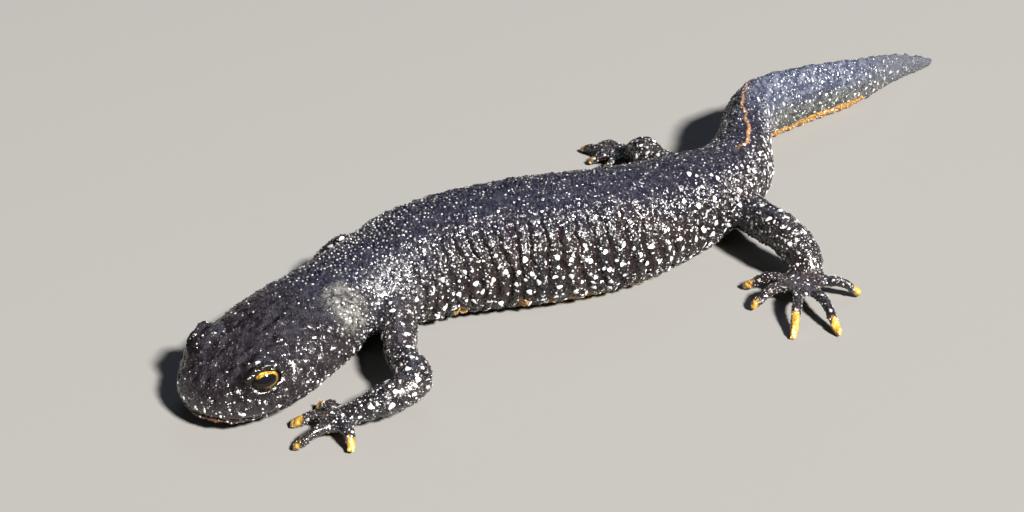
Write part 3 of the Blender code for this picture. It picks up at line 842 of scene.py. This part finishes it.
def set_granules(surface):
    """Fine dark granules with pale tips, over all the skin."""
    body, masks = surface.body, surface.masks
    head, foot = masks["head"], body["foot"]
    spacing = GRANULE_SPACING + 0.03 * head - 0.03 * foot
    cover = 1 - head * (0.35 + 0.35 * blend_step(body["rise"], 0.4, 0.7))
    cover *= 1 - blend_step(masks["folds"], 0.05, 0.55)
    cover *= 1 - 0.7 * body["lip"]
    for name, share in (("tip", 1.0), ("dark", 1.0), ("gland", 0.6)):
        cover *= 1 - share * masks[name]
    spots = surface.draw(spacing, GRANULE_DENSITY, np.clip(cover, 0, 1))
    rise, along, limb, aside = (
        surface.read(body[name], spots) for name in ("rise", "along", "limb", "aside"))
    fold = surface.read(masks["folds"], spots)
    skull = surface.read(head, spots)
    count = len(rise)
    widths = rng.uniform(*GRANULE_WIDTH, count) * (surface.read(spacing, spots) / GRANULE_SPACING)
    heights = widths * rng.uniform(*GRANULE_FLATNESS, count) * (1 - 0.4 * skull)

    share = 0.55 - skull * (0.20 + 0.25 * blend_step(rise, 0.4, 0.7)) - 0.5 * (fold > 0.2)
    share *= 1 - 0.45 * blend_step(rise, 0.80, 0.95)
    share *= 1 - 0.4 * blend_step(along, 84, 96)
    # Painted sheen: the granules of the shoulder get more and paler tips, standing in for its
    # glints
    shoulder = hump(along, 25.0, 5.0) * blend_step(rise, 0.35, 0.55) * (1 - limb)
    pale = rng.random(count) < share + 0.5 * shoulder
    tints = np.where(pale, rng.uniform(0.05, 0.85, count) ** (1.5 - 0.6 * shoulder), 0.0)
    tints *= 1 - 0.1 * blend_step(rise, 0.75, 0.95) * (1 - limb)

    body_spot = limb < 0.5
    trunk = body_spot & (along >= TRUNK_START) & (along < TAIL_START)
    groups = {
        "granules_head": body_spot & (along < TRUNK_START),
        "granules_trunk_left": trunk & (aside >= 0),
        "granules_trunk_right": trunk & (aside < 0),
        "granules_tail": body_spot & (along >= TAIL_START),
        "granules_limbs": ~body_spot,
    }
    return [bead_piece(name, surface, tuple(column[wanted] for column in spots),
                       widths[wanted], heights[wanted], tints[wanted], detail=1)
            for name, wanted in groups.items()]


def set_warts(surface):
    """White warts: rows low on the flanks, blotches on the limbs, cheeks and tail."""
    body = surface.body
    along, rise, limb, foot = (body[name] for name in ("along", "rise", "limb", "foot"))
    trunk = 1 - limb
    middle = window(along, 21, 27, 78, 88)
    flank = middle * window(rise, 0.06, 0.14, 0.42, 0.74)
    high_flank = middle * window(rise, 0.06, 0.14, 0.7, 0.9)
    hips = window(along, 54, 64, 80, 90) * blend_step(rise, 1.0, 0.7)
    cheek = window(along, 6, 9, 22, 27) * blend_step(rise, 0.6, 0.3)
    tail = window(along, 84, 90, 112, 126) * hump(rise, 0.4, 0.3)
    outer = limb * blend_step(rise, 0.35, 0.65) * (1 - 0.4 * foot)
    chances = {
        "warts_large": trunk * (flank + 0.25 * hips) + 0.25 * outer * (1 - foot),
        "warts_middle": trunk * (flank + hips + 0.4 * cheek + 0.7 * tail + 0.5 * body["lip"])
                        + 0.7 * outer,
        "warts_small": 0.04 + trunk * (0.7 * high_flank + hips + 0.7 * cheek + 0.4 * tail
                                       + body["lip"]) + 0.7 * outer,
    }
    pieces = []
    for name, (spacing, density, least, most, detail) in WARTS.items():
        chance = np.clip(chances[name], 0, 1)
        for mask in ("tip", "folds", "dark", "gland"):
            chance = chance * (1 - surface.masks[mask])
        spots = surface.draw(spacing, density, chance)
        count = len(spots[0])
        widths = rng.uniform(least, most, count)
        heights = widths * rng.uniform(*WART_FLATNESS, count)
        tints = rng.uniform(0.55, 1.0, count) * (1 - 0.3 * surface.read(limb, spots))
        pieces.append(bead_piece(name, surface, spots, widths, heights, tints, detail, WART_LOBES))
    return pieces


# Eyes

def make_eye(name, side):
    """Eyeball with a raised cornea; its masks give the place on the iris."""
    centre, axes = eye_frame(side)
    data = bpy.data.meshes.new(name)
    mesh = bmesh.new()
    bmesh.ops.create_uvsphere(mesh, u_segments=48, v_segments=32, radius=1.0)
    mesh.to_mesh(data)
    mesh.free()
    ball = read_points(data) * MM
    across, upright = ball[:, :2].T * EYE_RADIUS / IRIS_RADIUS
    front = ball[:, 2] > 0
    cornea = np.where(front, blend_step(np.hypot(across, upright), 1.0, 0.3), 0.0)
    write_mask(data, "iris_x", across)
    write_mask(data, "iris_y", upright)
    write_mask(data, "iris_front", front)
    size = EYE_RADIUS + CORNEA_HEIGHT * cornea
    write_points(data, (ball * size[:, None]) @ axes + centre)
    mesh = bmesh.new()
    mesh.from_mesh(data)
    bmesh.ops.recalc_face_normals(mesh, faces=mesh.faces)
    mesh.to_mesh(data)
    mesh.free()
    data.shade_smooth()
    return add_piece(name, data)


# Materials

class Graph:
    """Short names for making and joining the nodes of a material or a group."""

    def __init__(self, tree):
        self.tree = tree

    def add(self, kind, **settings):
        """New node with its settings."""
        item = self.tree.nodes.new(kind)
        for name, value in settings.items():
            setattr(item, name, value)
        return item

    def put(self, socket, value):
        """Join another node's output to a socket, or set a plain value on it."""
        if isinstance(value, bpy.types.NodeSocket):
            self.tree.links.new(value, socket)
        else:
            socket.default_value = value

    def fill(self, item, values):
        """Join or set several inputs of a node, by their names."""
        for name, value in values.items():
            self.put(item.inputs[name], value)

    def mask(self, name):
        """Number kept at the vertices of the piece."""
        return self.add("ShaderNodeAttribute", attribute_name=name).outputs["Fac"]

    def maths(self, operation, first, second=0.0):
        """Sum of two numbers, or another operation on them."""
        item = self.add("ShaderNodeMath", operation=operation)
        self.put(item.inputs[0], first)
        self.put(item.inputs[1], second)
        return item.outputs[0]

    def times(self, first, second):
        """Product of two numbers."""
        return self.maths("MULTIPLY", first, second)

    def span(self, value, low, high, start=0.0, end=1.0):
        """Number that goes smoothly from start to end as the value goes from low to high."""
        item = self.add("ShaderNodeMapRange", interpolation_type="SMOOTHSTEP")
        self.fill(item, {"Value": value, "From Min": low, "From Max": high,
                         "To Min": start, "To Max": end})
        return item.outputs[0]

    def mix(self, share, first, second):
        """Colour between two others."""
        item = self.add("ShaderNodeMix", data_type="RGBA")
        self.fill(item, {"Factor": share, "A": first, "B": second})
        return item.outputs["Result"]

    def cover(self, tone, mask, strength, colour):
        """Colour laid over a tone where a mask says, up to a strength."""
        return self.mix(self.times(mask, strength), tone, colour)

    def place(self):
        """Place on the piece."""
        return self.add("ShaderNodeTexCoord").outputs["Object"]

    def pattern(self, kind, place, size, **settings):
        """Texture node with its lumps that many millimetres wide."""
        item = self.add(kind, **settings)
        self.fill(item, {"Vector": place, "Scale": 1.0 / (size * MM)})
        return item

    def noise(self, size, detail=2.0, roughness=0.5):
        """Cloudy noise."""
        item = self.pattern("ShaderNodeTexNoise", self.place(), size)
        self.fill(item, {"Detail": detail, "Roughness": roughness})
        return item.outputs["Fac"]

    def cells(self, size, feature="F1", warp=0.0):
        """Distance in a pattern of cells, drawn out of shape by a warp in millimetres."""
        place = self.place()
        if warp:
            clouds = self.pattern("ShaderNodeTexNoise", place, size).outputs["Color"]
            shift = self.add("ShaderNodeVectorMath", operation="MULTIPLY_ADD")
            for socket, value in zip(shift.inputs, (clouds, (warp * MM,) * 3, place)):
                self.put(socket, value)
            place = shift.outputs[0]
        item = self.pattern("ShaderNodeTexVoronoi", place, size, feature=feature)
        return item.outputs["Distance"]

    def bump(self, shader, height, strength, depth):
        """Fine relief of a shader, that many millimetres deep."""
        item = self.add("ShaderNodeBump")
        self.fill(item, {"Strength": strength, "Distance": depth * MM, "Height": height})
        self.put(shader.inputs["Normal"], item.outputs["Normal"])


def new_group(name, inputs, outputs):
    """Empty node group with named numbers in, and masks or colours out."""
    tree = bpy.data.node_groups.new(name, "ShaderNodeTree")
    for label, value in inputs:
        socket = tree.interface.new_socket(label, in_out="INPUT", socket_type="NodeSocketFloat")
        socket.default_value = value
    for label, kind in outputs:
        tree.interface.new_socket(label, in_out="OUTPUT", socket_type=kind)
    graph = Graph(tree)
    return graph, graph.add("NodeGroupInput"), graph.add("NodeGroupOutput")


def skin_tone_group():
    """Colour of the skin: black to brown, orange below and on the digits, with painted light laid
    in: bluish sky reflection on the back, glints on the shoulder, sheen on the gland, shade in the
    folds, lids, nostrils and mouth.
    """
    graph, given, result = new_group(
        "newt skin tone", (("Flecks", 0.20),), (("Color", "NodeSocketColor"),))
    mask = graph.mask
    clouds = graph.span(graph.noise(5.0, 3.0), 0.38, 0.62)
    flecks = graph.span(graph.noise(0.9, 3.0, 0.6), 0.42, 0.62)
    tone = graph.cover(BLACK, clouds, 0.55, BROWN)
    # Painted reflection of the sky: bluish on the upper back and round the root of the tail
    tone = graph.cover(tone, mask("sky_sheen"), 0.75, NAVY_SKY_SHEEN)
    tone = graph.cover(tone, mask("head"), 0.85, HEAD_BROWN)
    grey = graph.mix(mask("low"), graph.mix(flecks, *TAIL_UPPER), graph.mix(flecks, *TAIL_LOWER))
    tone = graph.cover(tone, mask("tail"), 0.85, grey)
    tone = graph.cover(tone, mask("end"), 0.8, TAIL_GREY)
    tone = graph.cover(tone, flecks, given.outputs["Flecks"], FLECK)
    # Furrows and creases: their own brown, darkened as painted shade
    tone = graph.cover(tone, mask("folds"), 0.9, FURROW_BROWN_SHADE)

    # Painted sheen: silvery glints laid over the shoulder
    glints = graph.times(mask("shoulder_sheen"), graph.span(graph.noise(0.5, 3.0, 0.6), 0.40, 0.60))
    tone = graph.cover(tone, glints, 0.8, SHEEN_SILVER)
    patchy = graph.times(graph.maths("SUBTRACT", graph.noise(3.0), 0.5), 2.2)
    spots = graph.span(graph.maths("ADD", mask("orange"), patchy), 0.62, 0.76)
    tone = graph.mix(spots, tone, BELLY_ORANGE)
    line = graph.times(mask("ridge"), graph.span(mask("ridge_gap"), 0.30, 0.08))
    tone = graph.cover(tone, line, 0.85, RIDGE_ORANGE)
    tone = graph.cover(tone, mask("snout"), 0.5, LIP_ORANGE)
    tone = graph.mix(mask("tip"), tone, graph.mix(graph.noise(0.7), DIGIT_YELLOW, DIGIT_ORANGE))

    # Patch behind the left cheek: crazed cells and cracks of the skin, their pale grey and cream
    # partly painted sheen
    torn = graph.span(graph.cells(1.0, "DISTANCE_TO_EDGE", 1.6), 0.02, 0.10, 1.0, 0.0)
    torn = graph.times(torn, graph.span(graph.noise(1.3), 0.38, 0.52))
    mottle = graph.span(graph.noise(0.7, 3.0, 0.6), 0.35, 0.65)
    crazed = graph.mix(torn, graph.mix(mottle, GLAND_GREY, GLAND_CREAM_SHEEN), GLAND_CRACK)
    tone = graph.cover(tone, mask("gland"), 0.85, crazed)
    # Painted shade: black round the front of the eyes, in the nostrils and along the groove of the
    # mouth
    graph.put(result.inputs["Color"], graph.mix(mask("dark"), tone, SHADE_BLACK))
    return graph.tree


def grain_group():
    """Height of the finest grain of the skin, and a mask of its pores."""
    graph, given, result = new_group(
        "newt skin grain", (("Depth", 1.0),),
        (("Height", "NodeSocketFloat"), ("Pores", "NodeSocketFloat")))
    skull = graph.mask("head")
    small = graph.span(graph.cells(0.55), 0.0, 0.8, 0.9, 0.0)
    large = graph.span(graph.cells(1.05, warp=0.5), 0.0, 0.8, 1.7, 0.0)
    elsewhere = graph.maths("SUBTRACT", 1.0, skull)
    domes = graph.maths("ADD", graph.times(large, skull), graph.times(small, elsewhere))
    beads = graph.span(graph.cells(0.22), 0.0, 0.8, 0.2, 0.0)
    height = graph.times(graph.maths("ADD", domes, beads), given.outputs["Depth"])
    graph.fill(result, {"Height": height, "Pores": graph.span(graph.noise(0.9), 0.45, 0.7)})
    return graph.tree


def new_material(name):
    """Material with a Principled shader, its output joined."""
    material = bpy.data.materials.new(name)
    material.use_nodes = True
    graph = Graph(material.node_tree)
    return material, graph, material.node_tree.nodes["Principled BSDF"]


def place_group(graph, tree, **values):
    """A shared node group in a material, with its own values."""
    item = graph.add("ShaderNodeGroup", node_tree=tree)
    graph.fill(item, values)
    return item


def skin_material(name, tint, depth, roughness):
    """Wet granular skin; tint says how far pale tips show."""
    material, graph, shader = new_material(name)
    tone = place_group(graph, TONE, Flecks=0.20).outputs["Color"]
    grain = place_group(graph, GRAIN, Depth=1.0)
    if tint:
        pale = graph.mix(graph.noise(1.5, 1.0), *GRANULE_PALE)
        tone = graph.cover(tone, graph.mask("tint"), tint, pale)
    graph.fill(shader, {
        "Base Color": tone,
        "Roughness": graph.span(grain.outputs["Pores"], 0.0, 1.0, roughness, roughness + 0.14),
        "Specular IOR Level": 0.5,
        "Coat Weight": graph.times(graph.mask("wet"), 0.75),
        "Coat Roughness": 0.20,
    })
    graph.bump(shader, grain.outputs["Height"], 1.0, depth)
    return material


def wart_material():
    """White warts, a little creamy and glossy."""
    material, graph, shader = new_material("newt_wart")
    milk = graph.mix(graph.noise(1.2), *WART_WHITE)
    tone = place_group(graph, TONE, Flecks=0.20).outputs["Color"]
    grain = place_group(graph, GRAIN, Depth=0.5)
    graph.fill(shader, {
        "Base Color": graph.mix(graph.span(graph.mask("tint"), 0.05, 0.85), tone, milk),
        "Roughness": graph.span(grain.outputs["Pores"], 0.0, 1.0, 0.25, 0.42),
        "Coat Weight": 0.4,
        "Coat Roughness": 0.1,
    })
    graph.bump(shader, grain.outputs["Height"], 0.4, 0.03)
    return material


def eye_material():
    """Golden iris with a dark pupil drawn out lengthwise, under a clear wet coat; painted shade of
    the lids darkens the iris below and in front.
    """
    material, graph, shader = new_material("newt_eye")
    x, y = graph.mask("iris_x"), graph.mask("iris_y")
    across, upright = graph.times(x, x), graph.times(y, y)
    reach = graph.maths("SQRT", graph.maths("ADD", across, upright))
    oval = graph.maths("SQRT", graph.maths(
        "ADD", graph.times(across, 3.4), graph.times(upright, 9.0)))
    ragged = graph.maths("ADD", oval, graph.times(graph.noise(0.25), 0.3))
    marble = graph.span(graph.noise(0.35, 3.0, 0.7), 0.40, 0.62)
    # Painted shade of the lids: the gold shows only as a crescent at the top, the lower and front
    # parts of the iris are laid dark
    slope = graph.maths("SUBTRACT", y, graph.times(x, 0.25))
    crescent = graph.times(graph.span(slope, 0.10, 0.34), graph.span(reach, 0.56, 0.76, 1.0, 0.0))
    rim = graph.mix(graph.span(oval, 1.34, 1.22), IRIS_LID_SHADE, IRIS_RIM_SHADED)
    rim = graph.mix(graph.span(x, -0.05, 0.40), rim, IRIS_LID_SHADE)
    iris = graph.mix(crescent, rim, graph.mix(marble, IRIS_BROWN, IRIS_GOLD))
    iris = graph.mix(graph.span(ragged, 1.08, 1.20), PUPIL_BLACK, iris)
    graph.fill(shader, {
        "Base Color": graph.mix(graph.mask("iris_front"), PUPIL_BLACK, iris),
        "Roughness": 0.12,
        "Specular IOR Level": 0.1,
        "Coat Weight": 0.5,
        "Coat Roughness": 0.02,
    })
    return material


# Studio

def aim(item, azimuth, elevation, distance, target):
    """Put an object that far from a target, looking at it, by angles round the model."""
    turn, lift = math.radians(azimuth), math.radians(elevation)
    level = math.cos(lift)
    way = Vector((math.sin(turn) * level, -math.cos(turn) * level, math.sin(lift)))
    item.location = (Vector(target) + way * distance) * MM
    item.rotation_euler = (-way).to_track_quat("-Z", "Y").to_euler()


def make_camera():
    """Camera that frames the model as seen from its left side, from a little above."""
    data = bpy.data.cameras.new("camera")
    data.sensor_width = CAMERA_SENSOR
    data.angle = math.radians(CAMERA_FIELD)
    data.clip_start, data.clip_end = 0.001, 10.0
    camera = add_piece("camera", data)
    aim(camera, CAMERA_AZIMUTH, CAMERA_ELEVATION, CAMERA_DISTANCE, CAMERA_TARGET)
    bpy.context.scene.camera = camera


def make_lights():
    """Soft square lamps aimed at the middle of the model."""
    for name, (azimuth, elevation, distance, width, power, colour) in LAMPS.items():
        data = bpy.data.lights.new(name, "AREA")
        data.shape = "SQUARE"
        data.size = width * MM
        data.energy = power
        data.color = colour
        aim(add_piece(name, data), azimuth, elevation, distance, LAMP_TARGET)


def make_floor():
    """Wide plain floor."""
    data = bpy.data.meshes.new("floor")
    mesh = bmesh.new()
    bmesh.ops.create_grid(mesh, x_segments=1, y_segments=1, size=FLOOR_REACH * MM)
    mesh.to_mesh(data)
    mesh.free()
    floor = add_piece("floor", data)
    material, graph, shader = new_material("plain_floor")
    graph.fill(shader, {"Base Color": FLOOR_COLOUR, "Roughness": 0.9, "Specular IOR Level": 0.0})
    data.materials.append(material)


def make_world():
    """Even, weak studio light from all round."""
    world = bpy.data.worlds.new("studio")
    world.use_nodes = True
    bpy.context.scene.world = world
    shader = world.node_tree.nodes["Background"]
    shader.inputs["Color"].default_value = WORLD_COLOUR
    shader.inputs["Strength"].default_value = WORLD_STRENGTH


bpy.context.scene.view_settings.view_transform = "Standard"
make_camera()
make_floor()
make_world()
make_lights()

TONE = skin_tone_group()
GRAIN = grain_group()

skin_data, body = make_skin()
masks = colour_masks(body)
for name, values in masks.items():
    write_mask(skin_data, name, values)
skin_data.shade_smooth()
skin_data.materials.append(skin_material("newt_skin", 0.0, 0.17, 0.18))
skin = add_piece("newt_skin", skin_data)
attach(skin, "root")
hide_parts(*FLESH)

surface = Surface(skin_data, body, masks)
granule_material = skin_material("newt_granules", 0.8, 0.02, 0.14)
for piece in set_granules(surface):
    piece.data.materials.append(granule_material)
    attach(piece, "root")
white = wart_material()
for piece in set_warts(surface):
    piece.data.materials.append(white)
    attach(piece, "root")

golden = eye_material()
for name, side in (("left", 1), ("right", -1)):
    eye = make_eye("eyeball_" + name, side)
    eye.data.materials.append(golden)
    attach(eye, "root")
    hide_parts("eye_" + name)
